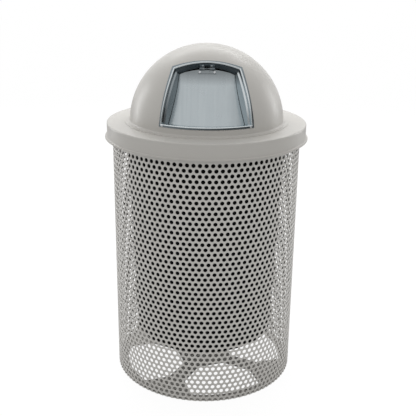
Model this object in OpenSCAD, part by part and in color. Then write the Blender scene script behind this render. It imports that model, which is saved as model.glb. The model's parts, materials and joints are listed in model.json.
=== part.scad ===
// Outdoor waste receptacle: a round perforated steel body with a plastic liner,
// and a lift-off dome lid with a self-closing push door.
// Origin: centre of the footprint on the floor. +Z is up and the door faces -Y.

/* [Body] */
// Outside diameter of the perforated wall
body_d = 606; // [560:2:640]
// Height of the wall from the floor to its top edge
body_h = 858; // [780:2:900]
// Thickness of the coated wall sheet
wall_t = 1.8; // [1.4:0.2:2.4]
// Width of the strip behind each upright seam of the wall
seam_w = 24; // [16:1:30]
// Thickness of the strips behind the seams
seam_t = 1.5; // [1:0.25:2.5]
// Diameter of the rolled top edge
bead_d = 12; // [9:0.5:14]
// Wall thickness of the rolled top edge
bead_t = 1.5; // [1:0.25:2]

/* [Perforation] */
// Diameter of one hole
hole_d = 12.2; // [9:0.2:12.4]
// Holes in one row around the wall, without the plain margins at the seams
holes_around = 66; // [40:2:66]
// Plain band between the wall's top edge and the top row's centres
plain_top = 68; // [56:1:90]
// Least distance of the bottom row's centres from the floor
plain_bottom = 12; // [8:1:40]

/* [Base plate] */
// Thickness of the base plate
plate_t = 2.5; // [2:0.5:4]
// Width of the ring at the plate's edge
plate_ring_w = 31; // [24:1:44]
// Distance from the centre to the straight inner end of a cut-out
hub_r = 86; // [60:1:100]
// Half width of a cut-out at its inner end
cut_inner = 46; // [30:1:50]
// Half width of a cut-out at its outer end
cut_outer = 118; // [90:1:124]
// Distance from the centre to the start of a cut-out's straight sides
cut_shoulder = 160; // [130:1:180]
// Radius of a cut-out's corners
cut_corner = 14; // [6:1:24]
// Turn of the first cut-out from the door side
cut_turn = 18; // [0:1:45]
// Diameter of the anchor hole in the hub
anchor_d = 14; // [10:0.5:18]

/* [Liner] */
// Gap between the wall and the liner under its rim
liner_gap = 44.2; // [40:0.2:60]
// How much smaller the liner's floor is in radius than its top
liner_taper = 25; // [12:1:40]
// Height of the liner's floor above the ground
liner_floor_z = 134; // [60:2:220]
// Wall thickness of the liner
liner_t = 3; // [2:0.5:5]
// Width of the liner's rim
liner_rim_w = 24; // [14:1:28]
// Height of the turned-up edge of the rim
liner_lip_h = 7; // [4:0.5:9]
// Length of a hand hole in the liner
grip_w = 104; // [80:2:130]
// Height of a hand hole in the liner
grip_h = 32; // [24:1:40]
// Depth of the hand holes' centres below the rim
grip_drop = 44; // [34:1:70]

/* [Liner ring] */
// Distance from the wall's top edge down to the ring's top face
ring_drop = 14; // [12:0.5:30]
// Thickness of the ring
ring_t = 2; // [1.5:0.5:3]
// Height of the ring's turned-down inner flange
ring_flange_h = 14; // [8:1:24]

/* [Lid] */
// Distance from the wall's face to the outside of the lid's skirt
skirt_gap = 18; // [17:0.5:26]
// Thickness of the lid's sheet
lid_t = 1.5; // [1.2:0.1:2]
// Height of the skirt and its lip
skirt_h = 49; // [36:1:60]
// Radius of the bend between the collar's top and the skirt
skirt_bend = 5; // [3:0.5:8]
// How far the lip at the skirt's lower edge stands out
lip_out = 6.5; // [4:0.5:9]
// Outside radius of the dome
dome_r = 247.5; // [240:0.5:252]
// Depth of the dome's centre below the collar's top face
dome_sunk = 4.2; // [2:0.2:8]
// Radius of the bend at the dome's foot
foot_bend = 6; // [3:0.5:9]
// Width of the flat flange around the dome's foot
foot_w = 10.5; // [6:0.5:14]

/* [Door opening] */
// Angle at the dome's centre from the middle to the opening's lower corners
open_low_side = 32.92; // [28:0.01:34]
// Angle at the dome's centre from the middle to the opening's upper corners
open_high_side = 23.33; // [20:0.01:25]
// Rise of the opening's lower edge, as an angle at the dome's centre
open_low_rise = 8.13; // [6.5:0.01:11]
// Rise of the opening's upper corners, as an angle at the dome's centre
open_high_rise = 49.43; // [44:0.01:50]
// Rise of the arch above the upper corners
open_arch = 20; // [10:1:24]
// Outward bow of the opening's sides
open_bow = 5.5; // [0:0.5:8]
// Width of the frame's flange on the dome
flange_w = 7; // [5:0.5:9]
// Thickness of the frame's sheet
frame_t = 1.2; // [1:0.1:1.6]

/* [Door] */
// Angle by which the door leans back from upright
door_lean = 29.2; // [26:0.2:32]
// Depth of the door's face behind the dome, square to the door
door_depth = 48.8; // [46:0.2:52]
// Radius to which the door sheet is rolled
door_bend_r = 260; // [250:5:320]
// Thickness of the door sheet
door_t = 1.2; // [1:0.1:2]
// Gap between the frame's wall and the door's face
door_gap = 5; // [4.6:0.2:6]
// How far the door reaches past the frame's walls
door_lap = 5; // [3:0.5:7]
// Length of each rubber bumper strip on the frame's side walls
bumper_l = 44; // [20:1:50]
// Width of the rubber bumper strips
bumper_w = 5; // [4:0.5:7]

/* [Hinge] */
// Outside radius of the hinge's knuckles
knuckle_r = 4; // [3.6:0.1:4.6]
// Radius of the hinge pin
pin_r = 1.6; // [1.4:0.1:1.8]
// Thickness of the hinge leaves
leaf_t = 1.5; // [1.2:0.1:1.8]
// Length of the whole hinge barrel
barrel_l = 44; // [42:1:50]
// Length of one knuckle of the leaf on the frame
frame_knuckle_l = 8; // [6:0.5:9]
// Length of one knuckle of the leaf on the door
door_knuckle_l = 5; // [4:0.5:6]
// Length of the leaf on the door
door_leaf_l = 15; // [12:0.5:18]
// Width of the leaf on the door
door_leaf_w = 54; // [52:1:60]
// Length of the leaf on the frame
frame_leaf_l = 15; // [12:0.5:18]
// Diameter of the wire in the closing spring
spring_wire_d = 1; // [0.8:0.1:1.2]
// Turns of the closing spring
spring_turns = 7; // [5:1:8]

/* [Fasteners] */
// Radius of the screw shanks
screw_r = 2; // [1.5:0.1:2.4]
// Radius of the screw heads
screw_head_r = 4; // [3.4:0.1:4.2]
// Height of the screw heads
screw_head_h = 2; // [1.6:0.1:2.4]
// Distance across the corners of a nut
nut_d = 8; // [7:0.2:9]
// Height of a nut
nut_h = 3.2; // [2.4:0.2:4]

/* [Hidden] */

coat = "#b3b1ab";      // light grey coating of body and lid
plated = "#a8b1b4";    // bright plated steel of the door and its frame
zinc = "#c9cdcf";      // zinc of the small hardware
black = "#1c1c1d";     // liner and rubber
round_fn = 96;         // sides of a circle where it is drawn as a mesh
roll_fn = 360;         // sides of the door sheet's large circle
seat = 0.3;            // gap between pieces that rest on each other
weld = 0.1;            // gap between pieces that are welded together
run = 0.08;            // radial clearance of the hinge pin in its knuckles
axial = 0.3;           // end clearance between knuckles
hole_play = 0.2;       // radial clearance of a screw in its hole

body_r = body_d / 2;
inner_r = body_r - wall_t;                      // inside of the wall
facet = 180 / holes_around;                     // degrees from one column of holes to the next
row_pitch = 2 * PI * body_r / holes_around * sin(60);
top_row_z = body_h - plain_top;
rows = floor((top_row_z - plain_bottom) / row_pitch) + 1;

ring_z = body_h - ring_drop;                    // top face of the liner ring
liner_rim_z = ring_z + seat;                    // underside of the liner's rim
liner_top_r = inner_r - liner_gap;
liner_floor_r = liner_top_r - liner_taper;
liner_foot = 12;                                // size of the chamfer around the liner's floor
ring_play = 5;                                  // gap between the liner and its ring
ring_inner_r = liner_top_r + ring_play;

collar_z = body_h + seat;                       // underside of the lid's collar
lid_z = collar_z + lid_t;                       // top face of the lid's collar
skirt_r = body_r + skirt_gap;
dome_z = lid_z - dome_sunk;                     // height of the dome's centre
foot_r = sqrt(pow(dome_r, 2) - pow(dome_sunk + lid_t + foot_bend, 2));

// ---- vectors ---------------------------------------------------------------------------

function unit(v) = v / norm(v);

// The point at share t of a flat curve from p to q that bows to the right of the way by sag
function bow_at(p, q, sag, t) = let (d = unit(q - p))
    p + (q - p) * t + [d.y, -d.x] * 4 * sag * t * (1 - t);

function bowed(p, q, sag, n) = [for (i = [0:n - 1]) bow_at(p, q, sag, i / n)];

// ---- door opening ----------------------------------------------------------------------
// Outlines here are seen from the front: [x, height above the dome's centre]. g is how far
// the outline grows past the frame's opening: [at the sides, at the foot, at the top].

foot_steps = 24;                                // points along each side of the outline
side_steps = 16;
arch_steps = 18;
open_low_x = dome_r * sin(open_low_side);
open_high_x = dome_r * sin(open_high_side);
open_low_z = dome_r * sin(open_low_rise);
open_corner_z = dome_r * sin(open_high_rise);

function outline(g) = let (
        low = [open_low_x + g[0], open_low_z - g[1]],
        high = [open_high_x + g[0], open_corner_z + g[2]])
    concat(
        bowed([-low.x, low.y], low, 0, foot_steps),
        bowed(low, high, open_bow, side_steps),
        bowed(high, [-high.x, high.y], open_arch, arch_steps),
        bowed([-high.x, high.y], [-low.x, low.y], open_bow, side_steps));

// The point of a front outline on a sphere about the dome's centre
function on_sphere(p, r) = [p.x, -sqrt(pow(r, 2) - pow(p.x, 2) - pow(p.y, 2)), p.y];

// The door's own directions: up along the sheet, and out through its face
door_up = [0, sin(door_lean), cos(door_lean)];
door_out = [0, -cos(door_lean), sin(door_lean)];
door_face = dome_r - door_depth;                // distance from the dome's centre
door_axis = door_face - door_bend_r;            // the rolled sheet's axis, along door_out

// How far along direction u a ray from the dome's centre meets the door's face moved out by gap
function door_reach(u, gap) = let (
        n = u * door_out,
        a = n * n + u.x * u.x,
        b = -2 * door_axis * n,
        c = pow(door_axis, 2) - pow(door_bend_r + gap, 2))
    (-b + sqrt(b * b - 4 * a * c)) / (2 * a);

function on_door(p, gap) = let (u = unit(on_sphere(p, dome_r))) u * door_reach(u, gap);

// ---- placing ---------------------------------------------------------------------------

// On the dome at front position p, with +Z along the dome's outward normal
module on_dome(p, r) {
    q = on_sphere(p, dome_r);
    translate([0, 0, dome_z]) rotate([0, 0, atan2(q.x, -q.y)])
        rotate([90 - asin(q.z / dome_r), 0, 0]) translate([0, 0, r]) children();
}

// The door's own space: X across, Y up along the sheet, Z out through its face
module door_space() {
    translate([0, 0, dome_z]) rotate([90 - door_lean, 0, 0]) children();
}

// The hinge pin's axis is along X through the origin of this space, Y and Z as for the door
module hinge_space() {
    door_space() translate([0, pin_v, door_face + knuckle_r]) children();
}

// ---- swept pieces ----------------------------------------------------------------------

// A closed solid through rings of points; closed joins the last ring to the first
module sweep(rings, closed = false) {
    n = len(rings);
    m = len(rings[0]);
    joins = closed ? n : n - 1;
    sides = [for (i = [0:joins - 1], j = [0:m - 1])
        let (a = i * m, b = (i + 1) % n * m, k = (j + 1) % m)
        each [[a + j, b + j, b + k], [a + j, b + k, a + k]]];
    ends = closed ? [] : [
        for (j = [1:m - 2]) [0, j, j + 1],
        for (j = [1:m - 2]) [(n - 1) * m, (n - 1) * m + j + 1, (n - 1) * m + j]];
    polyhedron([for (ring = rings) each ring], concat(sides, ends), convexity = 6);
}

// ---- body ------------------------------------------------------------------------------

// Half a turn of narrow facets that touch a circle of radius r, from +X to -X
function half_turn(r) = [for (i = [0:holes_around])
    r / cos(facet / 2) * [cos(facet * i), sin(facet * i)]];

// Perforated sheet rolled to half a cylinder. Each column of holes is on its own facet, the
// rows are staggered, and the first and last facets stay plain for the seams.
module half_wall() color(coat)
    difference() {
        linear_extrude(body_h)
            polygon(concat(half_turn(body_r), [for (p = half_turn(inner_r)) [-p.x, p.y]]));
        for (row = [0:rows - 1], column = [1 + row % 2:2:holes_around - 2])
            rotate(facet * (column + 0.5))
                translate([inner_r - 1, 0, top_row_z - row * row_pitch])
                    rotate([0, 90, 0]) cylinder(h = wall_t + 2, d = hole_d, $fn = 24);
    }

module wall_front() rotate(180) half_wall();
module wall_back() half_wall();

// Strips behind the two upright seams at the wall's sides
module wall_seams() color(coat)
    for (s = [-1, 1])
        translate([s * (inner_r * cos(asin(seam_w / 2 / inner_r)) - weld - seam_t / 2), 0,
                plate_t + seat])
            translate([-seam_t / 2, -seam_w / 2, 0])
                cube([seam_t, seam_w, ring_z - ring_flange_h - plate_t - 2 * seat]);

// Rolled edge around the outside of the wall's top
module top_bead() color(coat)
    rotate_extrude($fn = round_fn)
        translate([body_r / cos(facet / 2) + weld + bead_d / 2, body_h - bead_d / 2])
            difference() {
                circle(d = bead_d, $fn = 32);
                circle(d = bead_d - 2 * bead_t, $fn = 32);
            }

// Ring inside the wall's top that carries the liner's rim
module liner_ring() color(coat)
    rotate_extrude($fn = round_fn) {
        translate([ring_inner_r, ring_z - ring_t])
            square([inner_r - weld - ring_inner_r, ring_t]);
        translate([ring_inner_r, ring_z - ring_flange_h]) square([ring_t, ring_flange_h]);
    }

// Points that round the corner at p, between its neighbours a and b
function fillet(a, p, b, r, n = 4) = let (
        u = unit(a - p),
        v = unit(b - p),
        s = r / tan(acos(u * v) / 2))
    [for (i = [0:n]) let (t = i / n)
        (p + u * s) * pow(1 - t, 2) + p * 2 * t * (1 - t) + (p + v * s) * pow(t, 2)];

// Cut-out between two spokes, around +X: straight inner end, slanted sides, outer arc
cut_edge_r = inner_r - weld - plate_ring_w;
cut_end_a = asin(cut_outer / cut_edge_r);
function on_edge(a) = cut_edge_r * [cos(a), sin(a)];
cut_side = [[hub_r, cut_inner], [cut_shoulder, cut_outer], on_edge(cut_end_a)];
cut_half = concat(
    [for (a = [1:5]) on_edge(cut_end_a * (a - 1) / 6)],
    fillet(on_edge(cut_end_a * 5 / 6), cut_side[2], cut_side[1], cut_corner / 2),
    fillet(cut_side[2], cut_side[1], cut_side[0], cut_corner),
    fillet(cut_side[1], cut_side[0], [hub_r, 0], cut_corner));
cut_out = concat(cut_half,
    [for (i = [len(cut_half) - 1:-1:1]) [cut_half[i].x, -cut_half[i].y]]);

// Flat plate with a hub, four spokes and a ring
module base_plate() color(coat)
    linear_extrude(plate_t) difference() {
        circle(inner_r - weld, $fn = round_fn);
        for (k = [0:3]) rotate(cut_turn - 90 + 90 * k) polygon(cut_out);
        circle(d = anchor_d, $fn = 32);
    }

// ---- liner -----------------------------------------------------------------------------

// Tapered plastic bin that hangs by its rim, with a hand hole on each side
module liner() color(black)
    difference() {
        rotate_extrude($fn = round_fn) {
            polygon([
                [0, liner_floor_z], [liner_floor_r - liner_foot, liner_floor_z],
                [liner_floor_r, liner_floor_z + liner_foot], [liner_top_r, liner_rim_z],
                [liner_top_r, liner_rim_z + liner_t], [liner_top_r - liner_t, liner_rim_z + liner_t],
                [liner_floor_r - liner_t, liner_floor_z + liner_foot + 1 + liner_t / 2],
                [liner_floor_r - liner_foot - 1, liner_floor_z + liner_t],
                [0, liner_floor_z + liner_t]]);
            translate([liner_top_r - 1, liner_rim_z]) square([liner_rim_w + 1, liner_t]);
            translate([liner_top_r + liner_rim_w - liner_t, liner_rim_z])
                square([liner_t, liner_lip_h]);
        }
        translate([-body_r, 0, liner_rim_z - grip_drop]) rotate([90, 0, 90])
            linear_extrude(body_d) {
                square([grip_w - grip_h, grip_h], center = true);
                for (s = [-1, 1]) translate([s * (grip_w - grip_h) / 2, 0])
                    circle(d = grip_h, $fn = 32);
            }
    }

// ---- lid -------------------------------------------------------------------------------

// Quarter of a bent sheet: inside radius r, sheet t, turned by a
module bend(r, t, a) rotate(a) intersection() {
    difference() {
        circle(r + t, $fn = 48);
        circle(r, $fn = 48);
    }
    square(r + t + 1);
}

// Flat ring around the dome's foot, with a skirt that hangs over the body's top
module lid_collar() color(coat)
    rotate_extrude($fn = round_fn) {
        bend_in = skirt_bend - lid_t;
        skirt_in = skirt_r - lid_t;
        foot_z = lid_z - skirt_h;
        translate([dome_r - lid_t, collar_z]) square([skirt_r - skirt_bend - dome_r + lid_t, lid_t]);
        translate([skirt_r - skirt_bend, lid_z - skirt_bend]) bend(bend_in, lid_t, 0);
        translate([skirt_in, foot_z + lip_out]) square([lid_t, skirt_h - skirt_bend - lip_out]);
        translate([skirt_r + lip_out - lid_t, foot_z + lip_out]) bend(lip_out - lid_t, lid_t, 180);
        translate([skirt_r + lip_out - lid_t, foot_z]) square([lid_t, lid_t]);
    }

// Where the screws of the frame stand, seen from the front
screw_x = open_low_x - screw_head_r;
screw_z = open_low_z - frame_t - screw_r - 1;

// Room in the dome's cut-out around the frame's walls
opening_room = [3, 3, 2];

// Half ball of sheet with a flange around its foot and the door opening cut out
module dome() color(coat)
    difference() {
        union() {
            translate([0, 0, dome_z]) rotate_extrude($fn = round_fn) intersection() {
                difference() {
                    circle(dome_r, $fn = round_fn);
                    circle(dome_r - lid_t, $fn = round_fn);
                }
                translate([0, dome_sunk + lid_t + foot_bend - 0.5]) square(dome_r + 1);
            }
            rotate_extrude($fn = round_fn) {
                translate([foot_r + foot_bend, lid_z + lid_t + foot_bend]) bend(foot_bend, lid_t, 180);
                translate([foot_r + foot_bend, lid_z]) square([foot_w, lid_t]);
            }
        }
        translate([0, 0, dome_z]) rotate([90, 0, 0]) linear_extrude(dome_r + 1)
            polygon(outline(opening_room));
        for (s = [-1, 1]) on_dome([s * screw_x, screw_z], dome_r - 3 * lid_t)
            cylinder(h = 6 * lid_t, r = screw_r + hole_play, $fn = 24);
    }

// ---- door frame ------------------------------------------------------------------------

flange_r = dome_r + 2 * weld;                   // underside of the flange

// Section of the frame at outline point i: flange, rounded rim, and wall running inwards
flange_line = outline([flange_w, flange_w + 1.5, flange_w * 0.55]);
outer_line = outline([frame_t, frame_t, frame_t * 0.6]);
mid_line = outline([frame_t / 2, frame_t / 2, frame_t / 2]);
rim_line = outline([0, 0, 0]);
function to_wall_end(p) = unit(p) * door_reach(unit(p), door_gap);
function frame_section(i) = let (
        wall_out = on_sphere(outer_line[i], flange_r),
        rim_in = on_sphere(rim_line[i], flange_r))
    [on_sphere(flange_line[i], flange_r + frame_t), on_sphere(flange_line[i], flange_r),
        wall_out, to_wall_end(wall_out), to_wall_end(rim_in), rim_in,
        on_sphere(mid_line[i], flange_r + frame_t)];

module door_frame() color(plated)
    difference() {
        translate([0, 0, dome_z])
            sweep([for (i = [0:len(rim_line) - 1]) frame_section(i)], closed = true);
        for (s = [-1, 1]) on_dome([s * screw_x, screw_z], dome_r - lid_t)
            cylinder(h = 6 * lid_t, r = screw_r + hole_play, $fn = 24);
        wall_rivet_holes();
    }

// Screw that stands on the XY plane with its head up and its shank down
module screw(length) {
    rotate_extrude($fn = 32) intersection() {
        translate([0, screw_head_h - 1.7 * screw_head_r]) circle(1.7 * screw_head_r, $fn = 48);
        square([screw_head_r, screw_head_h]);
    }
    translate([0, 0, -length]) cylinder(h = length + screw_head_h / 4, r = screw_r, $fn = 24);
}

// Tapping screws through the frame's lower corners into the dome
module frame_screws() color(zinc)
    for (s = [-1, 1]) on_dome([s * screw_x, screw_z], flange_r + frame_t + weld)
        screw(frame_t + lid_t + 6);

// The middle of the frame's wall where it ends above the door, at share t of the right side
function wall_end(t) = to_wall_end(on_sphere(
    bow_at([open_low_x + frame_t / 2, open_low_z], [open_high_x + frame_t / 2, open_corner_z],
        open_bow, t), flange_r));

// Rubber strips gripping the inner edge of the frame's side walls, where the door lands
bumper_grip = 5;                                // overlap with the wall
bumper_play = 0.5;                              // slack of the groove around the wall's edge
bumper_t = 0.18;                                // middle of a strip, as a share of the side

module door_bumpers() color(black)
    difference() {
        for (s = [0, 1]) mirror([s, 0, 0]) translate([0, 0, dome_z]) {
            share = bumper_l / 2 / (open_corner_z - open_low_z);
            low = wall_end(bumper_t - share);
            high = wall_end(bumper_t + share);
            middle = (low + high) / 2;
            along = unit(high - low);
            out = unit(middle - along * (middle * along));
            across = cross(along, out);
            multmatrix([for (i = [0:2]) [across[i], along[i], out[i], middle[i]]])
                difference() {
                    translate([-bumper_w / 2, -bumper_l / 2, -2 * door_gap])
                        cube([bumper_w, bumper_l, 2 * door_gap + bumper_grip]);
                    translate([-frame_t / 2 - bumper_play, -bumper_l, -bumper_play])
                        cube([frame_t + 2 * bumper_play, 2 * bumper_l, bumper_grip + 1]);
                }
        }
        rolled_sheet(-door_bend_r / 4, door_bend_r / 4 + seat)
            square(4 * dome_r, center = true);
    }

// ---- hinge -----------------------------------------------------------------------------

// The frame's top wall at its middle, in the door's own directions
wall_dir = unit(on_sphere([0, open_corner_z + open_arch], flange_r));
wall_n = wall_dir * door_out;
wall_v = wall_dir * door_up;
wall_slope = atan2(wall_v, wall_n);
// The wall's arch drops by this much over half the hinge's length
wall_sag = 1.2;
// Height of the pin along the door, where the knuckles just clear the wall
pin_v = ((door_face + knuckle_r) * wall_v - knuckle_r - wall_sag) / wall_n;

frame_knuckle_x = barrel_l / 2 - frame_knuckle_l;          // inner end of a frame knuckle
door_knuckle_x = frame_knuckle_x - axial - door_knuckle_l; // inner end of a door knuckle
spring_half = door_knuckle_x - axial;
leaf_inset = 0.4;                               // frame leaf's outer face inside the knuckles' round
rivet_x = frame_knuckle_x - 1;
rivet_out = frame_leaf_l - 5;                   // rivets' distance from the pin
rivet_r = 1.5;
rivet_head_r = 2.7;
rivet_head_h = 1;

module knuckle(from, length) {
    for (s = [-1, 1]) translate([s > 0 ? from : -from - length, 0, 0]) rotate([0, 90, 0])
        cylinder(h = length, r = knuckle_r, $fn = 48);
}

module pin_bore() {
    translate([-barrel_l, 0, 0]) rotate([0, 90, 0])
        cylinder(h = 2 * barrel_l, r = pin_r + run, $fn = 48);
}

// The leaf space of the frame: Y outwards along the wall, Z square to it, towards the door side
module wall_space() {
    hinge_space() rotate([90 - wall_slope, 0, 0]) children();
}

module wall_rivet_holes() {
    for (s = [-1, 1]) wall_space() translate([s * rivet_x, rivet_out, -knuckle_r - 8])
        cylinder(h = 16, r = rivet_r + hole_play, $fn = 24);
}

// Leaf under the frame's top wall, with the outer knuckles and a window for the spring
module hinge_frame_leaf() color(zinc)
    difference() {
        union() {
            hinge_space() knuckle(frame_knuckle_x, frame_knuckle_l);
            wall_space() translate([0, 0, leaf_inset - knuckle_r]) linear_extrude(leaf_t) difference() {
                translate([axial - barrel_l / 2, 0]) square([barrel_l - 2 * axial, frame_leaf_l]);
                translate([-frame_knuckle_x - axial, -1])
                    square([2 * (frame_knuckle_x + axial), knuckle_r + 2]);
                translate([-spring_half, 0]) square([2 * spring_half, frame_leaf_l - 2]);
            }
        }
        hinge_space() pin_bore();
        wall_rivet_holes();
    }

// Rivets that hold the leaf to the frame's top wall
module hinge_rivets() color(zinc) {
    inner_z = leaf_inset - knuckle_r + leaf_t + weld;
    outer_z = -knuckle_r - wall_sag - frame_t - weld;
    for (s = [-1, 1]) wall_space() translate([s * rivet_x, rivet_out, 0]) {
        translate([0, 0, inner_z]) cylinder(h = rivet_head_h, r = rivet_head_r, $fn = 32);
        translate([0, 0, outer_z - rivet_head_h / 2])
            cylinder(h = inner_z - outer_z + rivet_head_h, r = rivet_r, $fn = 24);
        translate([0, 0, outer_z - rivet_head_h]) cylinder(h = rivet_head_h, r = rivet_head_r, $fn = 32);
    }
}

// Leaf on the door's face, rolled like the door, with the inner knuckles. It leaves room for
// the frame's knuckles at its upper corners and for the spring between its own knuckles.
module hinge_door_leaf() color(zinc)
    difference() {
        union() {
            hinge_space() knuckle(door_knuckle_x, door_knuckle_l);
            rolled_sheet(weld, leaf_t) translate([0, pin_v]) difference() {
                translate([-door_leaf_w / 2, -door_leaf_l]) square([door_leaf_w, door_leaf_l]);
                translate([-spring_half, 4 - door_leaf_l]) square([2 * spring_half, door_leaf_l]);
                for (s = [0, 1]) mirror([s, 0]) translate([frame_knuckle_x - axial / 2, -knuckle_r - 0.5])
                    square([door_leaf_w, 2 * knuckle_r]);
            }
        }
        hinge_space() pin_bore();
        door_screw_holes();
    }

// Pin through all knuckles, headed at both ends
module hinge_pin() color(zinc)
    hinge_space() rotate([0, 90, 0]) {
        cylinder(h = barrel_l + 2, r = pin_r, center = true, $fn = 32);
        for (s = [-1, 1]) translate([0, 0, s * (barrel_l / 2 + 0.8)])
            cylinder(h = 1, r = pin_r * 1.7, center = true, $fn = 32);
    }

// Closing spring: one wire wound around the pin, with a leg along the frame's wall and one
// along the door. Angles run from +Y towards +Z in the hinge's space.
spring_r = knuckle_r - seat - spring_wire_d / 2;
spring_leg_l = 9;
curl_steps = 8;                                 // rings in one turn of the wire
coil_turns = spring_turns + (90 - wall_slope) / 360;
coil_steps = round(curl_steps * coil_turns);
function around_pin(x, a, r) = [x, r * cos(a), r * sin(a)];
function coil_point(t) =
    around_pin((2 * t - 1) * (spring_half - spring_wire_d), -wall_slope - 360 * coil_turns * t, spring_r);
spring_path = concat(
    [coil_point(0) + around_pin(0, 90 - wall_slope, spring_leg_l)
        + around_pin(0, -wall_slope, wall_sag)],
    [for (i = [0:coil_steps]) coil_point(i / coil_steps)],
    [coil_point(1) + around_pin(0, 180, spring_leg_l)]);
spring_gap = min([for (i = [1:coil_steps], j = [i + curl_steps / 2:1:coil_steps])
    norm(spring_path[i] - spring_path[j])]) - spring_wire_d;
echo(str("least gap between the spring's turns: ", spring_gap, " mm"));

// Ring of n points around point i of a path, square to the path
function wire_ring(path, i, r, n) = let (
        d = unit(path[min(i + 1, len(path) - 1)] - path[max(i - 1, 0)]),
        side = unit(cross(d, [1, 0, 0])),
        up = cross(side, d))
    [for (k = [0:n - 1]) path[i] + r * (side * cos(360 / n * k) + up * sin(360 / n * k))];

module hinge_spring() color(zinc)
    hinge_space() sweep([for (i = [0:len(spring_path) - 1])
        wire_ring(spring_path, i, spring_wire_d / 2, 6)]);

// ---- door ------------------------------------------------------------------------------

// Cuts a flat shape out of a sheet rolled to the door's curve, from gap to gap + t off its face
module rolled_sheet(gap, t) intersection() {
    door_space() translate([0, 0, door_axis]) rotate([90, 0, 0]) difference() {
        cylinder(h = 2 * dome_r, r = door_bend_r + gap + t, center = true, $fn = roll_fn);
        cylinder(h = 3 * dome_r, r = door_bend_r + gap, center = true, $fn = roll_fn);
    }
    door_space() translate([0, 0, door_axis]) linear_extrude(2 * door_bend_r) children();
}

door_line = [for (p = outline([door_lap, door_lap, -(knuckle_r + 1.2)]))
    let (q = on_door(p, 0)) [q.x, q * door_up]];

screw_drop = door_leaf_l - 5;                   // the door screws' distance below the pin
door_screw_x = door_leaf_w / 2 - 5;

module door_screw_place() {
    for (s = [-1, 1]) door_space() translate([0, pin_v - screw_drop, door_axis])
        rotate([0, s * asin(door_screw_x / door_bend_r), 0]) translate([0, 0, door_bend_r]) children();
}

module door_screw_holes() {
    door_screw_place() translate([0, 0, -6]) cylinder(h = 12, r = screw_r + hole_play, $fn = 24);
}

// Push door: a rolled sheet that fills the frame from behind
module door_panel() color(plated)
    difference() {
        rolled_sheet(-door_t, door_t) polygon(door_line);
        door_screw_holes();
    }

// Screws through the hinge leaf and the door, with nuts behind the door
module hinge_screws() color(zinc)
    door_screw_place() translate([0, 0, leaf_t + 2 * weld]) screw(leaf_t + door_t + nut_h + 2);

module hinge_nuts() color(zinc)
    door_screw_place() translate([0, 0, -door_t - weld - nut_h]) difference() {
        cylinder(h = nut_h, d = nut_d, $fn = 6);
        translate([0, 0, -1]) cylinder(h = nut_h + 2, r = screw_r + weld, $fn = 24);
    }

wall_front();
wall_back();
wall_seams();
top_bead();
liner_ring();
base_plate();
liner();
lid_collar();
dome();
door_frame();
frame_screws();
door_bumpers();
hinge_frame_leaf();
hinge_rivets();
hinge_pin();
hinge_spring();
door_panel();
hinge_door_leaf();
hinge_screws();
hinge_nuts();
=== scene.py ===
# %% [markdown]
# A round outdoor litter bin: a perforated steel body, a black plastic liner inside it, and a
# domed lid with a push door. The fixed solids are loaded first, and everything that this lesson
# adds is placed in the same space: metres, origin on the floor under the middle, door to -Y.

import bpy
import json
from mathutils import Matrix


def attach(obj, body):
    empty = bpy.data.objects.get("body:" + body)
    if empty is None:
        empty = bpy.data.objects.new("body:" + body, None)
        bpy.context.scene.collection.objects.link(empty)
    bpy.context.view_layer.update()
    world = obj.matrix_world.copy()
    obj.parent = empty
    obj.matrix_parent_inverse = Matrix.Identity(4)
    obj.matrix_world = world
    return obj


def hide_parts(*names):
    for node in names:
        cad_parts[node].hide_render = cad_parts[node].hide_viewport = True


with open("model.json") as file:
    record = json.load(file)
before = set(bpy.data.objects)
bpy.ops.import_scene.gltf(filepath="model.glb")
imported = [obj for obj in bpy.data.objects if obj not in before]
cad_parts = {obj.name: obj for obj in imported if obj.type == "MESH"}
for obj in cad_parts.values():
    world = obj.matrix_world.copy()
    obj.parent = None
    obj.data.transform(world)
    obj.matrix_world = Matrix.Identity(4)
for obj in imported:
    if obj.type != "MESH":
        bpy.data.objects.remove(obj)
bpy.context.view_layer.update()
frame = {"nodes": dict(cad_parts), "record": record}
nodes = frame["nodes"]

# %% Tools and units
import json
import math
import bpy
import bmesh
from mathutils import Matrix, Quaternion, Vector

MM = 0.001
WHITE = (1, 1, 1, 1)
scene = bpy.context.scene
scene.view_settings.view_transform = "Standard"

# %% [markdown]
# A few helpers for meshes serve many steps below. Operators take and give back mixed lists of
# points, edges and faces, so two of them gather such lists. The others extrude a line of edges,
# round edges or corners, and turn a finished bmesh into an object.

# %% Mesh helpers
def whole(shape):
    """Everything in a bmesh."""
    return shape.verts[:] + shape.edges[:] + shape.faces[:]


def verts_of(geom):
    """The points in a list of points, edges and faces."""
    return [g for g in geom if isinstance(g, bmesh.types.BMVert)]


def extruded(shape, edges):
    """Extrudes a line of edges where it lies; gives the new line and its points."""
    geom = bmesh.ops.extrude_edge_only(shape, edges=edges)["geom"]
    fresh = verts_of(geom)
    line = [g for g in geom
            if isinstance(g, bmesh.types.BMEdge) and all(v in fresh for v in g.verts)]
    return line, fresh


def rounded(shape, geom, offset, steps, affect="EDGES", material=-1):
    """Rounds edges, or corners with affect VERTICES; offset in mm."""
    bmesh.ops.bevel(shape, geom=geom, offset=offset * MM, segments=steps, affect=affect,
                    profile=0.5, material=material)


def to_object(shape, name):
    """Turns a bmesh into an object of the scene, and frees it."""
    mesh = bpy.data.meshes.new(name)
    shape.to_mesh(mesh)
    shape.free()
    thing = bpy.data.objects.new(name, mesh)
    scene.collection.objects.link(thing)
    return thing

# %% [markdown]
# The camera comes first. The holes of the sheet are evenly spaced, so their places in the
# photograph fix the lens, the height and the tilt. The forward direction is turned into a
# rotation with to_track_quat, and a small roll about the line of sight follows.

# %% Camera
LENS = 62.74
EYE = Vector((0, -2.311, 1.365))
TILT, TURN, ROLL = 0.33634, 0.00372, 0.0142

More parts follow.
